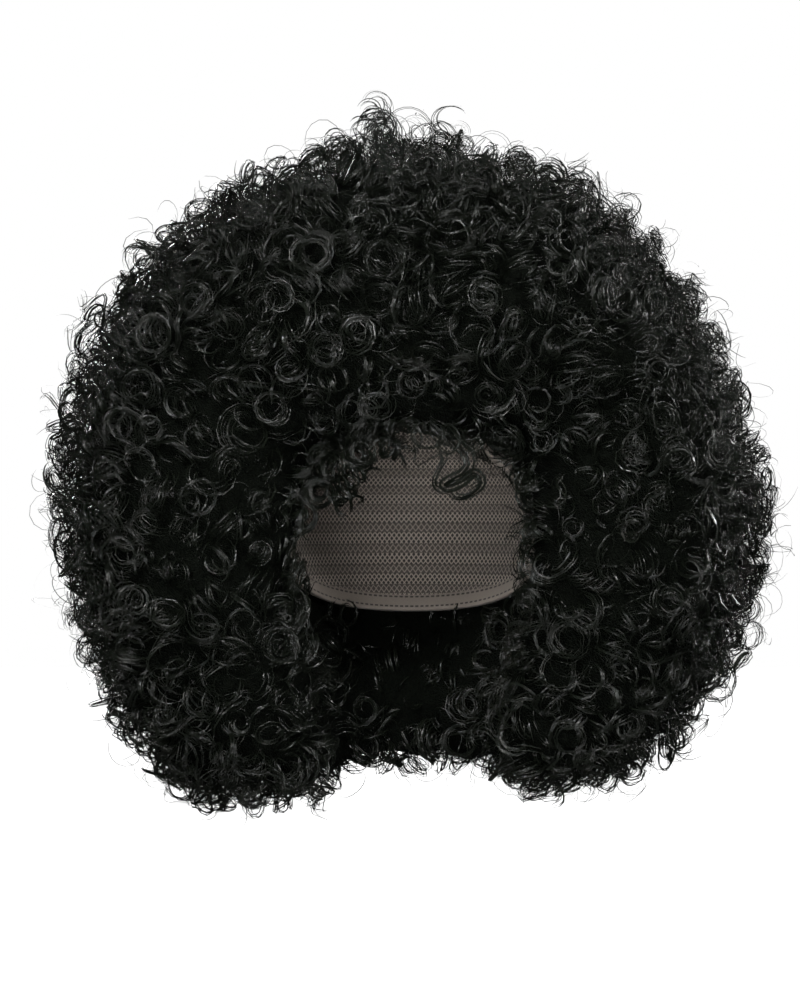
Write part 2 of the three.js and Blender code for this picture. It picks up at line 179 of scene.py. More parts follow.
# The hair's edge beside the opening, by how far a direction leans out of the opening, as a tangent: the
# directions that count as forward, the lean over which the edge rolls out to its full reach, and how far
# and how fast it falls away inside the opening.
FORWARD = 0.05
EDGE_ROUNDING = 0.95
EDGE_INWARD = 0.43
EDGE_FALL = 1.5

# The gap at the neck: the middle and half its depth from front to back, and the level of its top.
NECK_MIDDLE = 0.002
NECK_HALF_DEPTH = 0.058
NECK_TOP = -0.124

# The room between the head and the hair, and the distances at which the hollow is probed for its reach.
HEAD_CLEARANCE = 0.004
PROBES = np.linspace(0.02, 0.30, 141)

# Where the frizz at the upper right begins, and the length over which it grows to its full.
FRIZZ_START_X = 0.02
FRIZZ_LENGTH_X = 0.12
FRIZZ_START_Z = -0.16
FRIZZ_LENGTH_Z = 0.10

GOLDEN_ANGLE = math.pi * (3 - math.sqrt(5))
SURFACE_STEP = 0.03


def sizes():
    return bpy.context.scene.wig_sizes


def colours():
    return bpy.context.scene.wig_colours


def unit(vectors):
    return vectors / np.maximum(np.linalg.norm(vectors, axis=-1, keepdims=True), 1e-12)


def across(vectors):
    """Two directions at right angles to each vector and to each other."""
    up = np.where(np.abs(vectors[..., 2:3]) > 0.95, np.array([1.0, 0, 0]), np.array([0, 0, 1.0]))
    side = unit(np.cross(up, vectors))
    return side, np.cross(vectors, side)


# The shape of the mass, as reaches from the head's middle along directions

def egg_reach(d, width, front, back, above, below):
    along_y = np.where(d[:, 1] < 0, d[:, 1] / front, d[:, 1] / back)
    along_z = np.where(d[:, 2] < 0, d[:, 2] / below, d[:, 2] / above)
    return 1 / np.sqrt((d[:, 0] / width) ** 2 + along_y ** 2 + along_z ** 2)


def mass_reach(d):
    s = sizes()
    egg = egg_reach(d, s.hair_half_width, s.hair_front, s.hair_back, s.hair_above, s.hair_below)
    flat = s.hair_bottom / np.maximum(-d[:, 2], 1e-6)
    reach = (egg ** -CORNER_POWER + flat ** -CORNER_POWER) ** (-1 / CORNER_POWER)
    fade = 1 - d[:, 1] ** 2
    for swell in OUTLINE_SWELLS:
        bearing = math.radians(swell["bearing"])
        near = d[:, 0] * math.sin(bearing) + d[:, 2] * math.cos(bearing)
        bell = np.exp((near - 1) / (1 - math.cos(SWELL_HALF_ANGLE)))
        reach = reach + s.hair_half_width * swell["lift"] * fade * bell
    from_top = np.hypot(d[:, 0], d[:, 1]) * s.hair_above / s.tuft_half_width
    return reach + np.where(d[:, 2] > 0, TUFT_SHARE * s.tuft_height * np.exp(-from_top ** 2), 0)


def beside_face(d):
    """How far each direction leans out of the opening over the face; negative inside it."""
    s = sizes()
    forward = np.minimum(d[:, 1], -FORWARD)
    edge_across = s.face_half_width / math.sqrt(s.face_edge_reach ** 2 - s.face_half_width ** 2)
    out_across = np.abs(d[:, 0] / forward) - edge_across
    out_up = -d[:, 2] / forward - (HEAD_ABOVE - s.face_top_drop) / s.head_front
    both = (out_across > 0) & (out_up > 0)
    beside = np.where(both, np.hypot(out_across, out_up), np.maximum(out_across, out_up))
    return np.where(d[:, 1] >= -FORWARD, EDGE_ROUNDING, beside)


def hair_reach(d):
    s = sizes()
    edge = s.face_edge_reach
    beside = np.clip(beside_face(d) / EDGE_ROUNDING, -EDGE_INWARD, 1)
    rolled = edge + (mass_reach(d) - edge) * np.sqrt(1 - (1 - np.maximum(beside, 0)) ** 2)
    return np.where(beside < 0, edge * (1 + EDGE_FALL * beside), rolled)


def face_half_width_at(points):
    s = sizes()
    drops = [station["drop"] for station in FACE_STATIONS]
    right = np.interp(-points[..., 2], drops, [station["right"] for station in FACE_STATIONS])
    left = np.interp(-points[..., 2], drops, [station["left"] for station in FACE_STATIONS])
    return s.face_half_width * right, s.face_half_width * left


def in_face_opening(points):
    s = sizes()
    right, left = face_half_width_at(points)
    below_top = -points[..., 2] > s.face_top_drop
    return below_top & (points[..., 1] < 0) & (points[..., 0] < right) & (points[..., 0] > -left)


def in_neck(points):
    from_side = points[..., 0] / sizes().neck_half_width
    from_front = (points[..., 1] - NECK_MIDDLE) / NECK_HALF_DEPTH
    return (from_side ** 2 + from_front ** 2 < 1) & (points[..., 2] < NECK_TOP)


def hollow_reach(d):
    """How far the hollow for the head, the face and the neck reaches along each direction."""
    s = sizes()
    grow = HEAD_CLEARANCE
    head = egg_reach(d, s.head_half_width + grow, s.head_front + grow, s.head_back + grow,
                     HEAD_ABOVE + grow, s.head_below + grow)
    points = MIDDLE + d[:, None, :] * PROBES[None, :, None]
    inside = in_face_opening(points) | in_neck(points)
    last = len(PROBES) - 1 - np.argmax(inside[:, ::-1], axis=1)
    return np.maximum(head, np.where(inside.any(axis=1), PROBES[last], 0))


# The head and the cap, by bearings round from the front and polar angles down from the crown

def cap_edge_drop(azimuth):
    """How far the cap's edge lies below the crown at each bearing."""
    s = sizes()
    middle = (s.cap_front_drop + s.cap_nape_drop) / 4 + s.cap_side_drop / 2
    lean = (s.cap_front_drop - s.cap_nape_drop) / 2
    bow = (s.cap_front_drop + s.cap_nape_drop) / 4 - s.cap_side_drop / 2
    return middle + lean * np.cos(azimuth) + bow * np.cos(2 * azimuth)


def polar_at(drop):
    above = np.arccos(np.clip(1 - drop / HEAD_ABOVE, -1, 1))
    below = math.pi / 2 + np.arcsin(np.clip((drop - HEAD_ABOVE) / sizes().head_below, -1, 1))
    return np.where(drop < HEAD_ABOVE, above, below)


def head_point(azimuth, polar, offset):
    s = sizes()
    reach = np.where(np.cos(azimuth) > 0, s.head_front, s.head_back) + offset
    height = np.where(polar < math.pi / 2, HEAD_ABOVE, s.head_below) + offset
    x = (s.head_half_width + offset) * np.sin(polar) * np.sin(azimuth)
    y = -reach * np.sin(polar) * np.cos(azimuth)
    return np.stack([x, y, height * np.cos(polar) - HEAD_ABOVE], axis=-1)


# Places on a surface

def even_directions(count, rng):
    index = np.arange(count)
    height = 1 - (2 * index + 1) / count
    shake = rng.uniform(-0.5, 0.5, count) * math.sqrt(TURN / count)
    azimuth = GOLDEN_ANGLE * index + shake
    level = np.sqrt(1 - height ** 2)
    return np.stack([level * np.cos(azimuth), level * np.sin(azimuth), height], axis=-1)


def surface(d, reach_of):
    """Points of a surface that a reach describes, and the way out of it at each."""
    side, up = across(d)
    here = d * reach_of(d)[:, None]
    beside = unit(d + side * SURFACE_STEP)
    over = unit(d + up * SURFACE_STEP)
    outward = np.cross(beside * reach_of(beside)[:, None] - here, over * reach_of(over)[:, None] - here)
    return MIDDLE + here, unit(outward)


def spread(points, spacing):
    """Indices of points that keep a distance to those before them."""
    spacing = np.broadcast_to(spacing, len(points))
    placed = np.empty_like(points)
    kept = []
    for i, point in enumerate(points):
        gaps = np.sum((placed[:len(kept)] - point) ** 2, axis=1)
        if not kept or gaps.min() > spacing[i] ** 2:
            placed[len(kept)] = point
            kept.append(i)
    return np.array(kept)


def frizz_at(points):
    """How frizzy the hair is, from 0, curled, to 1, at the upper right."""
    right = np.clip((points[:, 0] - FRIZZ_START_X) / FRIZZ_LENGTH_X, 0, 1)
    high = np.clip((points[:, 2] - FRIZZ_START_Z) / FRIZZ_LENGTH_Z, 0, 1)
    return right * high


# Meshes from arrays

def mesh_piece(name, vertices, quads, triangles, attributes, normals=None):
    mesh = bpy.data.meshes.new(name)
    mesh.vertices.add(len(vertices))
    mesh.vertices.foreach_set("co", vertices.astype(np.float32).ravel())
    loops = np.concatenate([quads.ravel(), triangles.ravel()]).astype(np.int32)
    mesh.loops.add(len(loops))
    mesh.loops.foreach_set("vertex_index", loops)
    after_quads = len(quads) * 4
    starts = np.concatenate([np.arange(0, after_quads, 4), after_quads + np.arange(len(triangles)) * 3])
    mesh.polygons.add(len(starts))
    mesh.polygons.foreach_set("loop_start", starts.astype(np.int32))
    mesh.polygons.foreach_set("use_smooth", np.ones(len(starts), dtype=bool))
    for key, values in attributes.items():
        layer = mesh.attributes.new(key, "FLOAT", "POINT")
        layer.data.foreach_set("value", values.astype(np.float32).ravel())
    mesh.update(calc_edges=True)
    if normals is not None:
        mesh.normals_split_custom_set_from_vertices(normals.astype(np.float32))
    piece = bpy.data.objects.new(name, mesh)
    bpy.context.collection.objects.link(piece)
    return piece


NO_QUADS = np.empty((0, 4), dtype=int)
NO_TRIANGLES = np.empty((0, 3), dtype=int)

# A fibre: its usual width, the share of it that is left at the tips, how many tapers its length would
# hold, and how round it is shaded, which a broad one is less.
FIBRE_WIDTH = 0.0005
TIP_SHARE = 0.2
TAPERS = 5
FIBRE_ROUNDNESS = 0.8
BROAD_FLATNESS = 0.3


def fibre_arrays(paths, flat_way, widths, tones):
    """Flat tapered fibres along paths, shaded as round ones, with the values that their grain follows."""
    count, steps, _ = paths.shape
    tangent = unit(np.gradient(paths, axis=1))
    flat = unit(flat_way - tangent * np.sum(flat_way * tangent, axis=-1, keepdims=True))
    facing = np.cross(flat, tangent)
    along = np.linspace(0, 1, steps)
    taper = TIP_SHARE + (1 - TIP_SHARE) * np.minimum(1, TAPERS * np.minimum(along, 1 - along))
    half = widths[:, None, None] * taper[None, :, None] / 2
    vertices = np.stack([paths - flat * half, paths + flat * half], axis=2).reshape(-1, 3)
    roundness = FIBRE_ROUNDNESS * np.minimum(1, FIBRE_WIDTH / widths) ** BROAD_FLATNESS
    side = flat * roundness[:, None, None]
    normals = np.stack([unit(facing - side), unit(facing + side)], axis=2).reshape(-1, 3)
    lanes = np.repeat(widths / FIBRE_WIDTH, steps)
    first = (np.arange(count) * steps * 2)[:, None] + (np.arange(steps - 1) * 2)[None, :]
    quads = np.stack([first, first + 1, first + 3, first + 2], axis=-1).reshape(-1, 4)
    attributes = {
        "tone": np.repeat(tones, steps * 2),
        "along": np.tile(np.repeat(along, 2), count),
        "lane": np.stack([lanes * 0, lanes], axis=-1).ravel(),
    }
    return vertices, quads, attributes, normals


def joined(parts):
    """Several sets of fibres as one."""
    offsets = np.cumsum([0] + [len(part[0]) for part in parts[:-1]])
    quads = np.concatenate([part[1] + offset for part, offset in zip(parts, offsets)])
    attributes = {key: np.concatenate([part[2][key] for part in parts]) for key in parts[0][2]}
    return (np.concatenate([part[0] for part in parts]), quads, attributes,
            np.concatenate([part[3] for part in parts]))


def dress(piece, material, slot, *nodes):
    piece.data.materials.append(material)
    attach(piece, "root")
    for name in nodes:
        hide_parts(name)


def fibre_piece(name, arrays, material, slot, *nodes):
    vertices, quads, attributes, normals = arrays
    piece = mesh_piece(name, vertices, quads, NO_TRIANGLES, attributes, normals)
    dress(piece, material, slot, *nodes)


# How the curls of each layer are made. A curl is some wisps that wind into one ring, and a wisp is some
# fibres side by side, a share of which are broad. Lengths are in metres, size is a share of the curl's
# radius, lean is the angle in degrees between the ring's axis and the way out, inward is the share of its
# radius that a wisp loses on its way to the tip, and loose is how far the fibres stray from each other.
CURL_LAYERS = {
    "outer": {"wisps": 4, "fibres": 6, "steps": 14, "size": (0.55, 0.9, 1.35), "turns": (0.8, 1.5),
              "inward": 0.55, "lean": (12, 50, 90), "lift": (-0.003, 0.008), "stem": 0.012,
              "width": 0.00050, "broad": 0.06, "loose": 1.1},
    "under": {"wisps": 3, "fibres": 4, "steps": 11, "size": (0.9, 1.1, 1.4), "turns": (0.8, 1.2),
              "inward": 0.5, "lean": (20, 60, 90), "lift": (-0.009, -0.003), "stem": 0.0,
              "width": 0.00060, "broad": 0.35, "loose": 1.6},
    "brow": {"wisps": 6, "fibres": 12, "steps": 18, "size": (0.9, 1.0, 1.1), "turns": (0.9, 1.6),
             "inward": 0.6, "lean": (10, 40, 75), "lift": (-0.001, 0.001), "stem": 0.006,
             "width": 0.00048, "broad": 0.0, "loose": 0.6},
    "tuft": {"wisps": 8, "fibres": 4, "steps": 18, "size": (0.8, 1.0, 1.2), "turns": (0.6, 1.4),
             "inward": 0.4, "lean": (10, 40, 80), "lift": (-0.002, 0.002), "stem": 0.008,
             "width": 0.00048, "broad": 0.0, "loose": 2.0},
    "arc": {"wisps": 2, "fibres": 2, "steps": 18, "size": (0.9, 1.0, 1.1), "turns": (0.6, 0.9),
            "inward": 0.1, "lean": (5, 15, 30), "lift": (-0.001, 0.001), "stem": 0.0,
            "width": 0.00040, "broad": 0.0, "loose": 1.0},
    "single": {"wisps": 1, "fibres": 1, "steps": 13, "size": (0.5, 0.9, 1.3), "turns": (0.35, 1.1),
               "inward": 0.3, "lean": (30, 65, 90), "lift": (-0.008, 0.012), "stem": 0.006,
               "width": 0.00030, "broad": 0.0, "loose": 1.0},
}
BROAD_TIMES = 2.2

# How the wisps of a curl stray: their tilt, their shift, their slide as a share of the travel, and the
# least and greatest share of the ring's radius that they wind at.
WISP_TILT = 0.26
WISP_SHIFT = 0.0018
WISP_SLIDE = 0.35
WISP_SHARES = (0.55, 1.05)

# How the fibres of a wisp stray: along the ring's axis, in radius, in where they start as a share of a
# turn, and in how far they wind. They fray towards the tip, and the stem is a share of their length.
FIBRE_SLIDE = 0.0009
FIBRE_DRIFT = 0.0007
FIBRE_PHASE = 0.03
FIBRE_WINDING = 0.05
FRAY = 1.6
STEM_SHARE = 0.3
LOOSE_SHARES = (0.4, 1.4)
WIDTH_SHARES = (0.7, 1.35)

# How much tighter and looser a curl gets where the hair is frizzy, and how deep a leaning ring sits.
FRIZZ_TIGHTER = 0.2
FRIZZ_LOOSER = 0.8
RING_SINK = 0.3


def wind_curls(points, outward, rng, layer, radius=None):
    """One curl of a layer at each point, as fibre arrays."""
    s = sizes()
    style = CURL_LAYERS[layer]
    n, w, m, steps = len(points), style["wisps"], style["fibres"], style["steps"]

    side, up = across(outward)
    spin = rng.uniform(0, TURN, (n, 1))
    lean = np.radians(rng.triangular(*style["lean"], (n, 1)))
    axis = outward * np.cos(lean) + (side * np.cos(spin) + up * np.sin(spin)) * np.sin(lean)
    if radius is None:
        radius = np.full(n, s.curl_radius)
    frizz = frizz_at(points)
    radius = (radius * (1 - FRIZZ_TIGHTER * frizz))[:, None] * rng.triangular(*style["size"], (n, 1))
    lift = rng.uniform(*style["lift"], (n, 1))
    centre = points + outward * (lift - RING_SINK * radius * np.sin(lean))
    travel = s.curl_travel * rng.uniform(-1, 1, (n, 1))
    turns = rng.uniform(*style["turns"], (n, 1)) * rng.choice([-1, 1], (n, 1))
    curl_tone = rng.uniform(0, 1, (n, 1, 1))

    wisp_axis = unit(axis[:, None, :] + rng.normal(0, WISP_TILT, (n, w, 3)))
    first, second = across(wisp_axis)
    share = rng.uniform(*WISP_SHARES, (n, w))
    share[:, 0] = 1
    start = rng.uniform(0, 1, (n, w))
    wisp_centre = centre[:, None, :] + rng.normal(0, WISP_SHIFT * style["loose"], (n, w, 3))
    wisp_along = rng.uniform(-WISP_SLIDE, WISP_SLIDE, (n, w)) * s.curl_travel

    looser = 1 + FRIZZ_LOOSER * frizz[:, None, None, None]
    loose = style["loose"] * looser * rng.uniform(*LOOSE_SHARES, (n, 1, 1, 1))
    fibres = (n, w, m, 1)
    shift = rng.normal(0, FIBRE_SLIDE, fibres) * loose + wisp_along[:, :, None, None]
    drift = rng.normal(0, FIBRE_DRIFT, fibres) * loose
    phase = start[:, :, None, None] + rng.normal(0, FIBRE_PHASE, fibres) * loose
    wound = turns[:, None, None, :] * rng.normal(1, FIBRE_WINDING, fibres)
    t = np.linspace(0, 1, steps)
    fray = 1 + FRAY * t ** 3
    angle = TURN * (wound * t + phase)
    reach = (radius * share)[..., None, None] * (1 - style["inward"] * t ** 1.6) + drift * fray
    along = travel[:, None, None, :] * (t - 0.5) + shift * fray
    sink = style["stem"] * np.maximum(0, 1 - t / STEM_SHARE) ** 2

    def per_fibre(vectors):
        return vectors[:, :, None, None, :]

    paths = (per_fibre(wisp_centre) + per_fibre(wisp_axis) * along[..., None]
             + per_fibre(first) * (reach * np.cos(angle))[..., None]
             + per_fibre(second) * (reach * np.sin(angle))[..., None]
             - outward[:, None, None, None, :] * sink[None, None, None, :, None])
    roll = rng.uniform(0, math.pi, (n, w, m, 1, 1))
    round_way = per_fibre(first) * np.cos(angle)[..., None] + per_fibre(second) * np.sin(angle)[..., None]
    flat_way = per_fibre(wisp_axis) * np.cos(roll) + round_way * np.sin(roll)
    total = n * w * m
    widths = style["width"] * rng.uniform(*WIDTH_SHARES, total)
    widths *= np.where(rng.uniform(0, 1, total) < style["broad"], BROAD_TIMES, 1)
    tones = (0.5 * curl_tone + 0.5 * rng.uniform(0, 1, (n, w, m))).ravel()
    return fibre_arrays(paths.reshape(total, steps, 3), flat_way.reshape(total, steps, 3), widths, tones)


# Node groups and materials

def node(tree, kind, place, inputs=None, **settings):
    """A new node, whose inputs are given as values or as the outputs that feed them."""
    made = tree.nodes.new(kind)
    made.location = place
    for key, value in settings.items():
        setattr(made, key, value)
    for key, value in (inputs or {}).items():
        if isinstance(value, bpy.types.NodeSocket):
            tree.links.new(value, made.inputs[key])
        else:
            made.inputs[key].default_value = value
    return made


def maths(tree, place, operation, *values):
    return node(tree, "ShaderNodeMath", place, dict(enumerate(values)), operation=operation).outputs[0]


def ranged(tree, place, value, start, end, low=0.0, high=1.0):
    inputs = {"Value": value, "From Min": start, "From Max": end, "To Min": low, "To Max": high}
    return node(tree, "ShaderNodeMapRange", place, inputs).outputs[0]


def blended(tree, place, factor, first, second):
    inputs = {0: factor, 6: first, 7: second}
    return node(tree, "ShaderNodeMix", place, inputs, data_type="RGBA").outputs[2]


def attribute(tree, place, name):
    return node(tree, "ShaderNodeAttribute", place, attribute_name=name).outputs["Fac"]


def noise(tree, place, inputs, dimensions="3D"):
    return node(tree, "ShaderNodeTexNoise", place, inputs, noise_dimensions=dimensions).outputs["Fac"]


def bumped(tree, place, height, distance):
    inputs = {"Height": height, "Distance": distance}
    return node(tree, "ShaderNodeBump", place, inputs).outputs[0]


def new_group(name, inputs, outputs):
    group = bpy.data.node_groups.new(name, "ShaderNodeTree")
    for label, kind, default in inputs:
        socket = group.interface.new_socket(name=label, in_out="INPUT", socket_type=kind)
        socket.default_value = default
    for label, kind in outputs:
        group.interface.new_socket(name=label, in_out="OUTPUT", socket_type=kind)
    given = node(group, "NodeGroupInput", (-1100, 0)).outputs
    return group, given


def fibre_group():
    """Fine lines along each fibre, with a colour and a gloss that differ from fibre to fibre."""
    if "Hair fibres" in bpy.data.node_groups:
        return bpy.data.node_groups["Hair fibres"]
    group, given = new_group(
        "Hair fibres",
        [("Dark", "NodeSocketColor", (0, 0, 0, 1)), ("Light", "NodeSocketColor", (0, 0, 0, 1)),
         ("Lines", "NodeSocketFloat", 3.0), ("Depth", "NodeSocketFloat", 0.0001)],
        [("Color", "NodeSocketColor"), ("Roughness", "NodeSocketFloat"), ("Normal", "NodeSocketVector")])
    tone = attribute(group, (-1100, 400), "tone")
    lane = attribute(group, (-1100, -300), "lane")
    along = attribute(group, (-1100, 600), "along")
    place = node(group, "ShaderNodeTexCoord", (-1100, 800)).outputs["Object"]
    cloud = noise(group, (-900, 800), {"Vector": place, "Scale": 60.0, "Detail": 3.0})
    lanes = maths(group, (-900, -300), "MULTIPLY", lane, given["Lines"])
    apart = maths(group, (-700, -200), "MULTIPLY_ADD", tone, 37.0, lanes)
    wobble = maths(group, (-500, -100), "MULTIPLY_ADD", cloud, 0.8, apart)
    lines = noise(group, (-300, -100), {"W": wobble, "Scale": 1.0, "Detail": 2.0}, "1D")
    ridge = ranged(group, (-100, -100), lines, 0.3, 0.7)
    share = maths(group, (-700, 400), "MULTIPLY", tone, 0.5)
    grain = maths(group, (-500, 400), "MULTIPLY_ADD", ridge, 0.3, share)
    faded = maths(group, (-300, 400), "MULTIPLY_ADD", along, 0.2, grain)
    colour = blended(group, (100, 300), faded, given["Dark"], given["Light"])
    gloss = ranged(group, (100, 100), cloud, 0.3, 0.7, 0.12, 0.22)
    normal = bumped(group, (300, -100), ridge, given["Depth"])
    node(group, "NodeGroupOutput", (600, 0), {0: colour, 1: gloss, 2: normal})
    return group


def plain_material(name):
    material = bpy.data.materials.new(name)
    material.use_nodes = True
    return material, material.node_tree, material.node_tree.nodes["Principled BSDF"]


def feed(tree, shader, **outputs):
    """Links outputs to a shader's inputs, which are named with _ for a space."""
    for key, output in outputs.items():
        tree.links.new(output, shader.inputs[key.replace("_", " ")])


def hair_material(name, shine=0.5, lines=1.5, depth=0.00018):
    """Black hair with fine lines along it, given by how many show on a fibre and how deep they are."""
    material, tree, shader = plain_material(name)
    fibres = node(tree, "ShaderNodeGroup", (-300, 100), node_tree=fibre_group())
    fibres.inputs["Dark"].default_value = (*colours().hair_dark, 1)
    fibres.inputs["Light"].default_value = (*colours().hair_light, 1)
    fibres.inputs["Lines"].default_value = lines
    fibres.inputs["Depth"].default_value = depth
    feed(tree, shader, Base_Color=fibres.outputs["Color"], Roughness=fibres.outputs["Roughness"],
         Normal=fibres.outputs["Normal"])
    shader.inputs["IOR"].default_value = 1.5
    shader.inputs["Specular IOR Level"].default_value = shine
    return material


def shade(colour, share):
    """A colour made darker or lighter, with its alpha."""
    return (*[c * share for c in colour], 1)


def under_hair_painted_shade_material():
    """The tangle deep under the curls, which shows in the gaps between them. Its colour is painted shade:
    it runs from the darkest fibres' colour down to 0.4 of it, so those gaps read as black.
    """
    material, tree, shader = plain_material("under hair")
    place = node(tree, "ShaderNodeTexCoord", (-900, 0)).outputs["Object"]
    rings = node(tree, "ShaderNodeTexVoronoi", (-700, 150), {"Vector": place, "Scale": 80.0})
    strands = noise(tree, (-700, -150),
                    {"Vector": place, "Scale": 260.0, "Detail": 6.0, "Distortion": 2.5})
    tangle = maths(tree, (-450, 0), "ADD", rings.outputs["Distance"], strands)
    dark = colours().hair_dark
    # Painted shade: 0.4 to 1.0 of the darkest fibres' colour, darker than any curl, standing in for the
    # shade in the gaps between the curls.
    colour = blended(tree, (-200, 150), strands, shade(dark, 0.4), shade(dark, 1.0))
    feed(tree, shader, Base_Color=colour, Normal=bumped(tree, (-200, -150), tangle, 0.004))
    shader.inputs["Roughness"].default_value = 0.9
    shader.inputs["Specular IOR Level"].default_value = 0.05
    return material


# The cap's bound edge is this high, it takes over from the net over this length, and a seam runs this
# far from each of its sides.
BINDING_HEIGHT = 0.009
BINDING_FADE = 0.0008
SEAM_INSET = 0.0017

# The net's threads cross at this pitch. Each thread is given by the distances from its middle at which it
# begins to fade and has faded. The band of weft and its stitches are shares of half the weft's spacing.
NET_PITCH = 0.0017
NET_THREAD = (0.0002, 0.0006)
STITCH_THREAD = (0.0001, 0.0005)
SEAM_THREAD = (0.0003, 0.0006)
SEAM_DASH = 0.002
SEAM_GAP = (0.0006, 0.0009)
WEFT_BAND = (0.40, 0.52)
STITCH_REACH = 0.36


def thread(tree, place, distance, inner, outer):
    """1 within a thread and 0 beside it, by the distance from its middle."""
    return ranged(tree, place, distance, inner, outer, 1.0, 0.0)


def mixed(tree, place, factor, first, second):
    """The first value where the factor is 0, and the second where it is 1."""
    return node(tree, "ShaderNodeMix", place, {0: factor, 2: first, 3: second}).outputs[0]


def net_light(tree, run, round_):
    """How light the net is: two sets of slanting threads that cross in diamonds."""
    threads = []
    for sign, level in ((1.0, 100), (-1.0, -60)):
        slant = maths(tree, (-1300, level), "MULTIPLY_ADD", run, sign, round_)
        fold = maths(tree, (-1100, level), "PINGPONG", slant, NET_PITCH)
        threads.append(thread(tree, (-900, level), fold, *NET_THREAD))
    net = maths(tree, (-700, 60), "MAXIMUM", *threads)
    return maths(tree, (-300, 60), "MULTIPLY", net, 0.7)


def weft_light(tree, across_row, round_, fuzz, half):
    """How light a row of weft is: a zigzag of stitches on dark fuzz."""
    zigzag = maths(tree, (-1100, -220), "PINGPONG", round_, half * STITCH_REACH)
    off = maths(tree, (-900, -220), "SUBTRACT", zigzag, across_row)
    apart = maths(tree, (-700, -220), "ABSOLUTE", off)
    stitch = thread(tree, (-500, -220), apart, *STITCH_THREAD)
    ground = maths(tree, (-500, -420), "MULTIPLY", fuzz, 0.12)
    return maths(tree, (-300, -220), "MULTIPLY_ADD", stitch, 0.5, ground)


def binding_light(tree, hem, round_, fuzz):
    """How light the bound edge is: a soft weave with two dashed seams, which are dark."""
    dashes = maths(tree, (-700, -560), "PINGPONG", round_, SEAM_DASH)
    dash = ranged(tree, (-500, -560), dashes, *SEAM_GAP)
    from_side = maths(tree, (-900, -700), "PINGPONG", hem, BINDING_HEIGHT / 2)
    off = maths(tree, (-700, -700), "SUBTRACT", from_side, SEAM_INSET)
    apart = maths(tree, (-600, -700), "ABSOLUTE", off)
    seam = thread(tree, (-500, -700), apart, *SEAM_THREAD)
    sewn = maths(tree, (-300, -600), "MULTIPLY", dash, seam)
    weave = maths(tree, (-300, -420), "MULTIPLY_ADD", fuzz, 0.35, 0.15)
    return mixed(tree, (-100, -420), sewn, weave, 0.0)


def cap_material():
    """A diamond net, with rows of stitched weft across it and a smooth bound edge."""
    material, tree, shader = plain_material("cap net")
    run = attribute(tree, (-1500, 300), "run")
    round_ = attribute(tree, (-1500, 0), "round")
    hem = attribute(tree, (-1500, -300), "hem")
    fuzz = noise(tree, (-900, -420), {"Scale": 900.0, "Detail": 4.0})
    half = sizes().weft_spacing / 2
    across_row = maths(tree, (-1300, 300), "PINGPONG", run, half)
    row = thread(tree, (-900, 400), across_row, *[half * share for share in WEFT_BAND])
    weft = weft_light(tree, across_row, round_, fuzz, half)
    light = mixed(tree, (-100, 60), row, net_light(tree, run, round_), weft)
    bound = ranged(tree, (-1300, -300), hem, BINDING_HEIGHT, BINDING_HEIGHT - BINDING_FADE)
    edge = mixed(tree, (100, 60), bound, light, binding_light(tree, hem, round_, fuzz))
    base = colours().cap_net
    feed(tree, shader, Base_Color=blended(tree, (300, 200), edge, shade(base, 0.08), shade(base, 1.6)),
         Roughness=ranged(tree, (300, 20), edge, 0.0, 1.0, 0.75, 0.5),
         Normal=bumped(tree, (300, -150), edge, 0.0006))
    shader.inputs["Sheen Weight"].default_value = 0.1
    return material


# The sections of hair: half their angles at the head's middle, and the lowest drop of the front one

CROWN_HALF_ANGLE = math.radians(46)
FRONT_HALF_ANGLE = math.radians(47)
BACK_HALF_ANGLE = math.radians(45)
FRONT_SPLIT_DROP = 0.062


def section_names(points):
    """Which section of hair each point belongs to."""
    from_middle = points - MIDDLE
    polar = np.arccos(unit(from_middle)[:, 2])
    azimuth = np.abs(np.arctan2(points[:, 0], -points[:, 1]))
    names = np.where(points[:, 0] < 0, "hair_left", "hair_right")
    names = np.where((azimuth < FRONT_HALF_ANGLE) & (points[:, 2] > -FRONT_SPLIT_DROP), "hair_front", names)
    names = np.where(azimuth > math.pi - BACK_HALF_ANGLE, "hair_back", names)
    return np.where(polar < CROWN_HALF_ANGLE, "hair_crown", names)


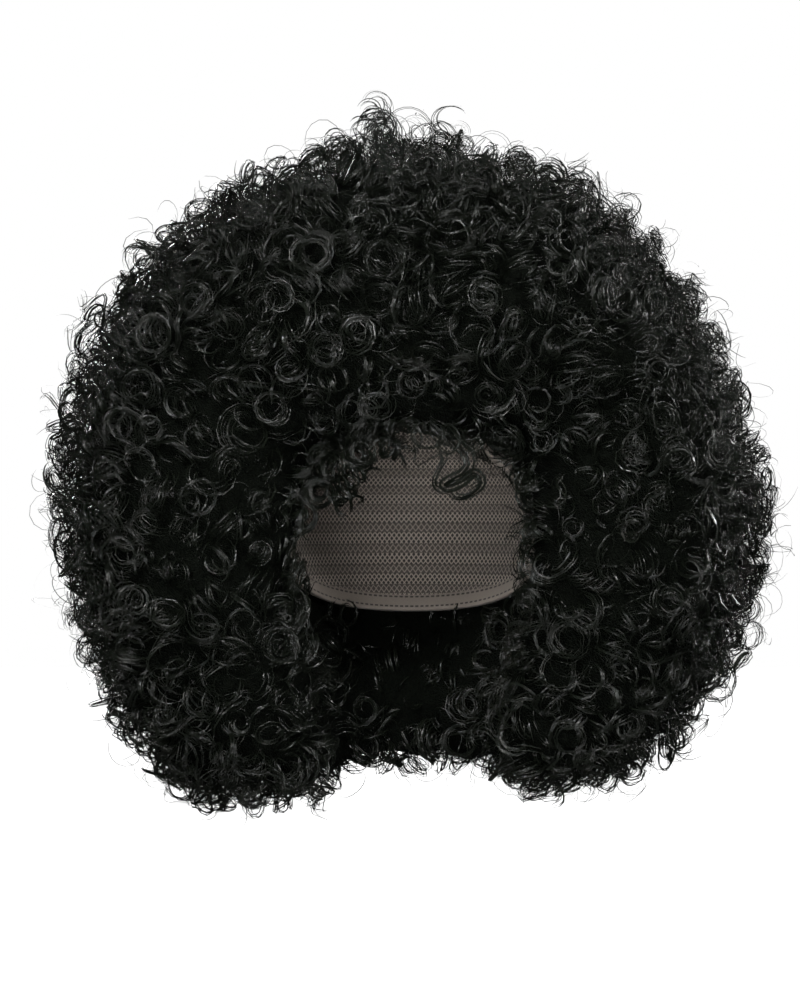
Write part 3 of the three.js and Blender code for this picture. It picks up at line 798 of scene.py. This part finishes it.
class WIG_OT_stage(bpy.types.Operator):
    """Sets the floor, the backdrop, the lights and the camera"""
    bl_idname = "wig.set_stage"
    bl_label = "Set the stage"

    def execute(self, context):
        scene = context.scene
        data = bpy.data.cameras.new("camera")
        data.lens = 124.6
        data.sensor_width = 36
        data.clip_end = 30
        camera = bpy.data.objects.new("camera", data)
        camera.location = (-0.007, -2.0, -0.083)
        camera.rotation_euler = (math.radians(90), 0, 0)
        scene.collection.objects.link(camera)
        scene.camera = camera
        scene.view_settings.view_transform = "Standard"
        self.add_floor()
        self.add_lights(scene)
        self.set_world(scene)
        return {"FINISHED"}

    def add_floor(self):
        """A wide pale floor, which is clear from underneath, where the wig is looked into."""
        level, radius, corners = -0.62, 9.0, 64
        angle = np.arange(corners) * TURN / corners
        rim = np.stack([radius * np.cos(angle), radius * np.sin(angle), np.full(corners, level)], axis=-1)
        vertices = np.vstack([rim, [[0, 0, level]]])
        index = np.arange(corners)
        triangles = np.stack([index, (index + 1) % corners, np.full(corners, corners)], axis=-1)
        floor = mesh_piece("floor", vertices, NO_QUADS, triangles, {})
        material, tree, shader = plain_material("pale floor")
        shader.inputs["Base Color"].default_value = (*colours().floor, 1)
        shader.inputs["Roughness"].default_value = 0.9
        shader.inputs["Emission Color"].default_value = (1, 1, 1, 1)
        seen = node(tree, "ShaderNodeLightPath", (-600, -200)).outputs["Is Camera Ray"]
        feed(tree, shader, Emission_Strength=ranged(tree, (-300, -200), seen, 0.0, 1.0, 0.0, 1.3))
        behind = node(tree, "ShaderNodeNewGeometry", (0, 300)).outputs["Backfacing"]
        clear = node(tree, "ShaderNodeBsdfTransparent", (0, -300)).outputs[0]
        mix = node(tree, "ShaderNodeMixShader", (400, 0), {0: behind, 1: shader.outputs[0], 2: clear})
        tree.links.new(mix.outputs[0], tree.nodes["Material Output"].inputs["Surface"])
        floor.data.materials.append(material)
        floor.visible_glossy = False

    def add_lights(self, scene):
        lamps = [
            {"name": "key", "place": (-0.6, -2.15, 1.2), "size": 0.45, "power": 7.2},
            {"name": "fill", "place": (1.5, -1.8, 0.8), "size": 0.5, "power": 4.0},
            {"name": "low", "place": (-0.3, -2.3, -0.3), "size": 0.6, "power": 2.6},
            {"name": "top", "place": (0.2, 0.3, 1.8), "size": 0.6, "power": 0.6},
            {"name": "back_left", "place": (-0.8, 2.1, 0.7), "size": 0.5, "power": 5.0},
            {"name": "back_right", "place": (1.7, 1.3, 0.5), "size": 0.5, "power": 3.2},
        ]
        for lamp in lamps:
            data = bpy.data.lights.new(lamp["name"], "AREA")
            data.shape = "SQUARE"
            data.size = lamp["size"]
            data.energy = lamp["power"]
            data.spread = math.radians(60)
            light = bpy.data.objects.new(lamp["name"], data)
            light.location = lamp["place"]
            place = np.array(lamp["place"])
            aim = unit(MIDDLE - place)
            yaw = math.atan2(aim[0], aim[1])
            light.rotation_euler = (math.acos(-aim[2]), 0, -yaw)
            scene.collection.objects.link(light)

    def set_world(self, scene):
        world = bpy.data.worlds.new("studio")
        world.use_nodes = True
        tree = world.node_tree
        background = tree.nodes["Background"]
        background.inputs["Color"].default_value = (1, 1, 1, 1)
        seen = node(tree, "ShaderNodeLightPath", (-600, 0)).outputs["Is Camera Ray"]
        feed(tree, background, Strength=ranged(tree, (-300, 0), seen, 0.0, 1.0, 0.060, 1.0))
        scene.world = world


# The cap's mesh: its columns round the head and its rows from the crown to the edge, the mean radius that
# turns a bearing into a length round it, how far the weft and the binding stand inwards and outwards,
# and the length over which the binding rises.
CAP_COLUMNS = 73
CAP_ROWS = 88
MEAN_RADIUS = 0.086
WEFT_INWARD = 0.0010
WEFT_OUTWARD = 0.0005
BINDING_INWARD = 0.0004
BINDING_OUTWARD = 0.0009
BINDING_SLOPE = 0.002


class WIG_OT_cap(bpy.types.Operator):
    """Sews the stretch net cap with its rows of hair and its bound edge"""
    bl_idname = "wig.sew_cap"
    bl_label = "Sew the cap"

    def execute(self, context):
        s = sizes()
        azimuth = np.linspace(0, TURN, CAP_COLUMNS)
        edge = polar_at(cap_edge_drop(azimuth))
        share = np.linspace(0, 1, CAP_ROWS)[:, None]
        polar = edge[None, :] * (0.01 + 0.99 * share)
        azimuth = np.broadcast_to(azimuth, polar.shape)
        run = polar * HEAD_ABOVE
        hem = edge[None, :] * HEAD_ABOVE - run
        bound = np.clip((BINDING_HEIGHT - hem) / BINDING_SLOPE, 0, 1)
        weft = np.clip(np.cos(run * TURN / s.weft_spacing) + 0.1, 0, 0.8) * (1 - bound)
        head = head_point(azimuth, polar, 0)
        way = unit(head - MIDDLE)
        inside = head - way * (WEFT_INWARD * weft + BINDING_INWARD * bound)[..., None]
        outside = head + way * (s.cap_wall + BINDING_OUTWARD * bound + WEFT_OUTWARD * weft)[..., None]
        tips = np.array([[0, 0, s.cap_wall], [0, 0, 0]])
        vertices = np.concatenate([np.concatenate([outside, inside[::-1]]).reshape(-1, 3), tips])
        both_sides = {"run": run, "round": azimuth * MEAN_RADIUS, "hem": hem}
        attributes = {key: np.append(np.concatenate([values, values[::-1]]).ravel(), [0, 0])
                      for key, values in both_sides.items()}
        cap = mesh_piece("cap_net", vertices, self.net_quads(), self.crown_triangles(), attributes)
        dress(cap, cap_material(), "cap_net", "wig_cap")
        return {"FINISHED"}

    def net_quads(self):
        """The faces between the rings, from the crown down the outside and up the inside again."""
        ring = np.arange(2 * CAP_ROWS - 1)[:, None] * CAP_COLUMNS
        first = ring + np.arange(CAP_COLUMNS - 1)[None, :]
        below = first + CAP_COLUMNS
        return np.stack([first, below, below + 1, first + 1], axis=-1).reshape(-1, 4)

    def crown_triangles(self):
        """The small fans that close the crown, outside and inside."""
        outer = np.arange(CAP_COLUMNS - 1)
        inner = (2 * CAP_ROWS - 1) * CAP_COLUMNS + outer
        out_tip = np.full(CAP_COLUMNS - 1, 2 * CAP_ROWS * CAP_COLUMNS)
        return np.concatenate([np.stack([out_tip, outer, outer + 1], axis=-1),
                               np.stack([inner, out_tip + 1, inner + 1], axis=-1)])


# The core of under hair: how far it stays under the outline and off the hollow, the least thickness at
# which it is kept, how much less deep it lies where it faces down, how high its ripples are and how much
# higher where it faces down, where their tops are cut, and how fine they are.
CORE_DEPTH = 0.0105
CORE_OFF_HOLLOW = 0.005
CORE_LEAST = 0.006
DEPTH_LESS_BELOW = 0.001
RIPPLE = 0.0018
RIPPLE_MORE_BELOW = 0.0016
RIPPLE_LIMIT = 2.4
RIPPLE_FINENESS = 41.0


def rippled(d):
    """Five waves that cross the mass in different ways."""
    total = 0
    for k in range(1, 6):
        way = unit(np.array([math.sin(7.1 * k), math.cos(3.3 * k), math.sin(5.9 * k)]))
        total = total + np.sin(d @ (k * RIPPLE_FINENESS * way) + k)
    return np.minimum(total, RIPPLE_LIMIT)


class WIG_OT_under_hair(bpy.types.Operator):
    """Fills the mass under the curls with tangled hair, darkened as painted shade for the gaps between the
    curls
    """
    bl_idname = "wig.fill_under_hair"
    bl_label = "Fill in the under hair"

    def execute(self, context):
        build = bmesh.new()
        bmesh.ops.create_icosphere(build, subdivisions=5, radius=1)
        build.verts.ensure_lookup_table()
        d = unit(np.array([v.co[:] for v in build.verts]))
        faces = np.array([[v.index for v in f.verts] for f in build.faces])
        build.free()
        down = np.clip(-d[:, 2], 0, 1)
        ripple = (RIPPLE + RIPPLE_MORE_BELOW * down) * rippled(d)
        outer = hair_reach(d) - CORE_DEPTH + DEPTH_LESS_BELOW * down + ripple
        inner = hollow_reach(d) + CORE_OFF_HOLLOW
        keep = (outer[faces] - inner[faces] > CORE_LEAST).all(axis=1)
        faces = faces[keep]
        n = len(d)
        vertices = np.concatenate([MIDDLE + d * outer[:, None], MIDDLE + d * inner[:, None]])
        edges = np.concatenate([faces[:, [0, 1]], faces[:, [1, 2]], faces[:, [2, 0]]])
        keys = edges[:, 0] * n + edges[:, 1]
        twins = edges[:, 1] * n + edges[:, 0]
        rim = edges[~np.isin(keys, twins)]
        walls = np.stack([rim[:, 1], rim[:, 0], rim[:, 0] + n, rim[:, 1] + n], axis=-1)
        triangles = np.concatenate([faces, faces[:, ::-1] + n])
        corners = np.concatenate([triangles.ravel(), walls.ravel()])
        used, renumbered = np.unique(corners, return_inverse=True)
        split = triangles.size
        core = mesh_piece("under_hair", vertices[used], renumbered[split:].reshape(-1, 4),
                          renumbered[:split].reshape(-1, 3), {})
        dress(core, under_hair_painted_shade_material(), "curly_hair")
        return {"FINISHED"}


# How many places are tried for each layer, of which the spacing keeps some, and the spacing of the layers
# as a share of the curls'. The outer curls stand wider apart behind, over a reach from the middle, and
# closer where they are frizzy or face down.
CURL_TRIES = 26000
UNDER_CURL_TRIES = 12000
INSIDE_TRIES = 9000
WIDER_BEHIND = 0.18
BEHIND_REACH = 0.10
CLOSER_FRIZZY = 0.10
CLOSER_BELOW = 0.22
UNDER_CURL_SPACING = 1.25
INSIDE_SPACING = 0.92

# How deep the curls sit, how far inside the opening's edge they still stand, how far they keep from the
# cap's edge, and how much hair there has to be behind those on the inside.
CURL_DEPTH = 0.004
OVER_EDGE = 0.02
CAP_CLEARANCE = 0.004
LEAST_BEHIND = 0.008


class WIG_OT_curls(bpy.types.Operator):
    """Sets the curls all over the outside, section by section"""
    bl_idname = "wig.set_curls"
    bl_label = "Set the curls"

    def execute(self, context):
        rng = np.random.default_rng(SEED)
        points, outward = outside_places(CURL_TRIES, rng)
        behind = np.clip(points[:, 1] / BEHIND_REACH, 0, 1)
        down = np.clip(-outward[:, 2], 0, 1)
        wider = 1 + WIDER_BEHIND * behind - CLOSER_FRIZZY * frizz_at(points) - CLOSER_BELOW * down
        kept = spread(points, sizes().curl_spacing * wider)
        points, outward = points[kept], outward[kept]
        names = section_names(points)
        material = hair_material("curly hair")
        for name in ("hair_crown", "hair_front", "hair_left", "hair_right", "hair_back"):
            mine = names == name
            arrays = wind_curls(points[mine], outward[mine], rng, "outer")
            fibre_piece(name + "_curls", arrays, material, "curly_hair", name)
        return {"FINISHED"}


def outside_places(count, rng):
    """Places all over the outside of the hair, clear of the face and the neck."""
    d = even_directions(count, rng)
    d = d[beside_face(d) > -OVER_EDGE]
    points, outward = surface(d, hair_reach)
    free = ~(in_face_opening(points) | in_neck(points))
    down = np.clip(-outward[free, 2:3], 0, 1)
    return points[free] - outward[free] * CURL_DEPTH * down, outward[free]


class WIG_OT_under_curls(bpy.types.Operator):
    """Fills the gaps between the curls with a looser layer, and dresses the inside beside the face"""
    bl_idname = "wig.set_under_curls"
    bl_label = "Set the under curls"

    def execute(self, context):
        rng = np.random.default_rng(SEED + 3)
        material = hair_material("under curls")
        points, outward = outside_places(UNDER_CURL_TRIES, rng)
        kept = spread(points, sizes().curl_spacing * UNDER_CURL_SPACING)
        arrays = wind_curls(points[kept], outward[kept], rng, "under")
        fibre_piece("under_curls", arrays, material, "curly_hair")
        points, inward = self.inside_places(rng)
        arrays = wind_curls(points, inward, rng, "outer")
        fibre_piece("inside_curls", arrays, material, "curly_hair")
        return {"FINISHED"}

    def inside_places(self, rng):
        """Places on the inside of the mass, beside the face and round the neck, clear of the cap."""
        d = even_directions(INSIDE_TRIES, rng)
        points, away = surface(d, hollow_reach)
        azimuth = np.arctan2(points[:, 0], -points[:, 1])
        under_cap = -points[:, 2] < cap_edge_drop(azimuth) + CAP_CLEARANCE
        open_way = hollow_reach(d) > hair_reach(d) - LEAST_BEHIND
        free = ~(under_cap | open_way)
        points, inward = points[free], -away[free]
        kept = spread(points, sizes().curl_spacing * INSIDE_SPACING)
        return points[kept] - inward[kept] * CURL_DEPTH, inward[kept]


# The loops that stand up in the tuft over the crown, by their layer, their middles and their radius.
TUFT_LOOPS = [
    {"layer": "tuft", "x": -0.0250, "y": -0.010, "z": 0.1370, "radius": 0.0085},
    {"layer": "tuft", "x": -0.0180, "y": 0.006, "z": 0.1330, "radius": 0.0095},
    {"layer": "tuft", "x": -0.0290, "y": 0.016, "z": 0.1230, "radius": 0.0090},
    {"layer": "tuft", "x": -0.0150, "y": -0.028, "z": 0.1240, "radius": 0.0100},
    {"layer": "tuft", "x": -0.0120, "y": 0.032, "z": 0.1220, "radius": 0.0100},
    {"layer": "tuft", "x": 0.0210, "y": -0.010, "z": 0.1260, "radius": 0.0085},
    {"layer": "tuft", "x": 0.0170, "y": 0.014, "z": 0.1220, "radius": 0.0085},
    {"layer": "tuft", "x": 0.0040, "y": -0.034, "z": 0.1180, "radius": 0.0090},
    {"layer": "tuft", "x": -0.0440, "y": 0.008, "z": 0.1150, "radius": 0.0095},
    {"layer": "tuft", "x": -0.0400, "y": -0.026, "z": 0.1140, "radius": 0.0095},
    {"layer": "arc", "x": -0.0190, "y": -0.004, "z": 0.1420, "radius": 0.0090},
    {"layer": "arc", "x": -0.0030, "y": -0.006, "z": 0.1310, "radius": 0.0125},
    {"layer": "arc", "x": -0.0010, "y": 0.004, "z": 0.1290, "radius": 0.0115},
    {"layer": "arc", "x": 0.0060, "y": 0.010, "z": 0.1270, "radius": 0.0110},
    {"layer": "arc", "x": 0.0440, "y": -0.004, "z": 0.1150, "radius": 0.0130},
]

# The curls that frame the brow, by the middles and the radius of their rings, in metres.
BROW_CURLS = [
    {"x": -0.0390, "z": -0.0810, "radius": 0.0096},
    {"x": -0.0270, "z": -0.0440, "radius": 0.0108},
    {"x": -0.0300, "z": -0.0590, "radius": 0.0095},
    {"x": -0.0140, "z": -0.0545, "radius": 0.0085},
    {"x": -0.0420, "z": -0.0660, "radius": 0.0095},
    {"x": -0.0530, "z": -0.0780, "radius": 0.0095},
    {"x": -0.0615, "z": -0.0930, "radius": 0.0085},
    {"x": -0.0310, "z": -0.0700, "radius": 0.0085},
    {"x": -0.0120, "z": -0.0425, "radius": 0.0090},
    {"x": -0.0500, "z": -0.0550, "radius": 0.0100},
    {"x": -0.0620, "z": -0.0680, "radius": 0.0100},
    {"x": -0.0390, "z": -0.0480, "radius": 0.0100},
    {"x": -0.0020, "z": -0.0400, "radius": 0.0085},
    {"x": 0.0090, "z": -0.0415, "radius": 0.0080},
    {"x": 0.0180, "z": -0.0400, "radius": 0.0080},
    {"x": 0.0340, "z": -0.0400, "radius": 0.0095},
    {"x": 0.0470, "z": -0.0440, "radius": 0.0095},
    {"x": 0.0620, "z": -0.0530, "radius": 0.0090},
    {"x": 0.0640, "z": -0.0670, "radius": 0.0085},
    {"x": 0.0670, "z": -0.0830, "radius": 0.0085},
]
BROW_CLEARANCE = 0.014

# The small curls rooted in the cap's front edge: their bearings in degrees, to the left and to the right
# of the gap between them, how far they stand off the head, and their radius.
EDGE_BEARINGS = (*np.arange(-76, -9, 6), *np.arange(22, 77, 4.5))
EDGE_OFF_HEAD = 0.007
EDGE_RADIUS = 0.0085


def brow_places():
    """Places of the brow's curls, a little in front of the cap."""
    s = sizes()
    x = np.array([curl["x"] for curl in BROW_CURLS])
    z = np.array([curl["z"] for curl in BROW_CURLS])
    inside = 1 - (x / s.head_half_width) ** 2 - ((z + HEAD_ABOVE) / HEAD_ABOVE) ** 2
    y = -s.head_front * np.sqrt(np.maximum(inside, 0.05)) - BROW_CLEARANCE
    return np.stack([x, y, z], axis=-1)


class WIG_OT_shown_curls(bpy.types.Operator):
    """Winds the curls that stand apart from the rest: the tuft's loops and the curls round the brow"""
    bl_idname = "wig.wind_shown_curls"
    bl_label = "Wind the tuft and the brow"

    def execute(self, context):
        rng = np.random.default_rng(SEED + 4)
        material = hair_material("shown curls", shine=0.45)
        forward = np.array([0.0, -1.0, 0.0])
        loops = []
        for layer in ("tuft", "arc"):
            rows = [loop for loop in TUFT_LOOPS if loop["layer"] == layer]
            middles = np.array([[loop["x"], loop["y"], loop["z"]] for loop in rows])
            radius = np.array([loop["radius"] for loop in rows])
            loops.append(wind_curls(middles, np.tile(forward, (len(rows), 1)), rng, layer, radius))
        fibre_piece("tuft_loops", joined(loops), material, "curly_hair")
        places = brow_places()
        radius = np.array([curl["radius"] for curl in BROW_CURLS])
        framing = wind_curls(places, np.tile(forward, (len(places), 1)), rng, "brow", radius)
        azimuth = np.radians(EDGE_BEARINGS)
        edge = head_point(azimuth, polar_at(cap_edge_drop(azimuth) - 0.001), EDGE_OFF_HEAD)
        rooted = wind_curls(edge, unit(edge - MIDDLE), rng, "outer", np.full(len(edge), EDGE_RADIUS))
        fibre_piece("brow_curls", joined([framing, rooted]), material, "curly_hair")
        return {"FINISHED"}


# The ringlets over the top of the opening, each by its fibres, its width at the stem in metres, and the
# points that its middle passes through, seen from the front: millimetres to the right, millimetres under
# the crown and millimetres in front of the plane from which they hang.
RINGLETS = [
    {"fibres": 44, "spread": 0.0074, "through": [
        (19, 44, 1), (22, 51, 4), (29, 57, 7), (31, 64, 9), (28, 69, 9), (22, 72, 8), (17, 75, 6),
        (20, 77, 5), (27, 74, 7), (33, 69, 9), (37, 71, 11), (38, 75, 11), (35, 79, 10), (29, 82, 8),
        (24, 82, 7), (21, 79, 6)]},
    {"fibres": 16, "spread": 0.0044, "through": [
        (14, 46, 1), (16, 56, 4), (17, 61, 6), (16, 64, 7), (13, 70, 8), (12, 75, 7), (15, 78, 6),
        (20, 78, 6), (27, 75, 8), (34, 71, 10), (36, 74, 10), (31, 78, 9)]},
    {"fibres": 4, "spread": 0.0014, "through": [
        (0, 44, 1), (1, 52, 3), (2, 58, 5), (1, 63, 7), (4, 65, 7), (10, 61, 6), (15, 59, 6), (17, 62, 6),
        (17, 65, 6)]},
    {"fibres": 8, "spread": 0.0030, "through": [
        (24, 43, 1), (27, 51, 4), (30, 55, 6), (33, 57, 7), (36, 55, 7), (38, 53, 6), (37, 50, 5),
        (34, 49, 4)]},
    {"fibres": 8, "spread": 0.0034, "through": [
        (8, 40, 1), (15, 45, 5), (16, 51, 7), (10, 55, 8), (3, 53, 8), (0, 47, 6), (4, 42, 5),
        (10, 43, 5)]},
    {"fibres": 6, "spread": 0.0030, "through": [
        (16, 42, 1), (23, 46, 4), (25, 53, 6), (20, 58, 8), (15, 56, 8), (14, 51, 6), (18, 48, 5)]},
]
RINGLET_PLANE = -0.097

# A ringlet's fibres part into locks across its width. Its stem is wide, then it is gathered from one
# share of its length and over another, and it frays at the tip. All the fibres of a lock sway together,
# and each waves by itself. STEPS_EACH is the steps from one point to the next.
LOCKS = 3
LOCK_WIDTH = 0.4
STEM_TIMES = 1.2
GATHERED_LESS = 0.65
GATHERING = (0.25, 0.20)
TIP_FRAY = 2.0
FRAY_FROM = 0.8
LOCK_SWAY = 0.0005
FIBRE_WAVE = 0.0004
RINGLET_DEPTH = 0.0010
STEPS_EACH = 7


def smooth_path(points, steps):
    """A smooth path through points, as a cubic curve from each point to the next."""
    longer = np.vstack([2 * points[0] - points[1], points, 2 * points[-1] - points[-2]])
    place = np.linspace(0, len(points) - 1, steps)
    index = np.minimum(place.astype(int), len(points) - 2)
    t = (place - index)[:, None]
    a, b, c, d = (longer[index + k] for k in range(4))
    return 0.5 * (2 * b + (c - a) * t + (2 * a - 5 * b + 4 * c - d) * t ** 2
                  + (3 * b - a - 3 * c + d) * t ** 3)


class WIG_OT_ringlets(bpy.types.Operator):
    """Hangs the ringlets of the fringe over the top of the opening"""
    bl_idname = "wig.hang_ringlets"
    bl_label = "Hang the ringlets"

    def execute(self, context):
        rng = np.random.default_rng(SEED + 1)
        arrays = joined([self.ringlet(row, rng) for row in RINGLETS])
        material = hair_material("ringlet hair", shine=0.22)
        fibre_piece("fringe_ringlets", arrays, material, "ringlet_hair", "fringe")
        return {"FINISHED"}

    def ringlet(self, row, rng):
        """One ringlet, whose fibres open out beside its middle."""
        through = np.array(row["through"], dtype=float) / 1000
        middle = np.stack([through[:, 0], RINGLET_PLANE - through[:, 2], -through[:, 1]], axis=-1)
        steps = STEPS_EACH * (len(middle) - 1) + 1
        path = smooth_path(middle, steps)
        tangent = unit(np.gradient(path, axis=0))
        outside = unit(np.cross(tangent, np.array([0.0, -1.0, 0.0])))
        forward = np.cross(outside, tangent)
        k = row["fibres"]
        t = np.linspace(0, 1, steps)[None, :, None]
        gathered = np.clip((t - GATHERING[0]) / GATHERING[1], 0, 1)
        frayed = TIP_FRAY * np.maximum(0, t - FRAY_FROM)
        width = row["spread"] * (STEM_TIMES - GATHERED_LESS * gathered + frayed)
        place = rng.uniform(-0.5, 0.5, (k, 1, 1))
        lock = np.round(place * LOCKS) / LOCKS
        sway = LOCK_SWAY * np.sin(11 * t + 6 * lock)
        lean = (lock + LOCK_WIDTH * (place - lock)) * width + sway
        depth = rng.normal(0, RINGLET_DEPTH, (k, 1, 1)) + 0.3 * lean
        wave = rng.normal(0, FIBRE_WAVE, (k, 1, 1)) * np.sin(9 * t + rng.uniform(0, TURN, (k, 1, 1)))
        paths = path[None] + outside[None] * (lean + wave) + forward[None] * depth
        roll = rng.uniform(-1.5, 1.5, (k, 1, 1))
        flat_way = outside[None] * np.cos(roll) + forward[None] * np.sin(roll)
        widths = rng.uniform(0.0003, 0.0006, k)
        return fibre_arrays(paths, flat_way, widths, rng.uniform(0, 1, k))


LOOSE_TRIES = 9000
LOOSE_LIFT = 0.004


class WIG_OT_loose_strands(bpy.types.Operator):
    """Adds the single strands that stand out of the curls"""
    bl_idname = "wig.add_loose_strands"
    bl_label = "Add loose strands"

    def execute(self, context):
        rng = np.random.default_rng(SEED + 2)
        points, outward = outside_places(LOOSE_TRIES, rng)
        chosen = rng.permutation(len(points))[:sizes().loose_count]
        arrays = wind_curls(points[chosen] + outward[chosen] * LOOSE_LIFT, outward[chosen], rng, "single")
        material = hair_material("loose hair", lines=2.0, depth=0.0001)
        fibre_piece("loose_strands", arrays, material, "curly_hair")
        return {"FINISHED"}


class WIG_PT_panel(bpy.types.Panel):
    bl_idname = "WIG_PT_panel"
    bl_label = "Curly wig"
    bl_space_type = "VIEW_3D"
    bl_region_type = "UI"
    bl_category = "Wig"

    def draw(self, context):
        for group in (context.scene.wig_sizes, context.scene.wig_colours):
            for key in group.bl_rna.properties.keys():
                if key not in ("rna_type", "name"):
                    self.layout.prop(group, key)
        for operator in OPERATORS:
            self.layout.operator(operator.bl_idname)


OPERATORS = (WIG_OT_stage, WIG_OT_cap, WIG_OT_under_hair, WIG_OT_under_curls, WIG_OT_curls,
             WIG_OT_shown_curls, WIG_OT_ringlets, WIG_OT_loose_strands)
CLASSES = (WigSizes, WigColours, *OPERATORS, WIG_PT_panel)


def register():
    for cls in CLASSES:
        bpy.utils.register_class(cls)
    bpy.types.Scene.wig_sizes = PointerProperty(type=WigSizes)
    bpy.types.Scene.wig_colours = PointerProperty(type=WigColours)


def unregister():
    del bpy.types.Scene.wig_sizes
    del bpy.types.Scene.wig_colours
    for cls in reversed(CLASSES):
        bpy.utils.unregister_class(cls)


def main():
    register()
    bpy.ops.wig.set_stage()
    bpy.ops.wig.sew_cap()
    bpy.ops.wig.fill_under_hair()
    bpy.ops.wig.set_under_curls()
    bpy.ops.wig.set_curls()
    bpy.ops.wig.wind_shown_curls()
    bpy.ops.wig.hang_ringlets()
    bpy.ops.wig.add_loose_strands()


if __name__ == "__main__":
    main()
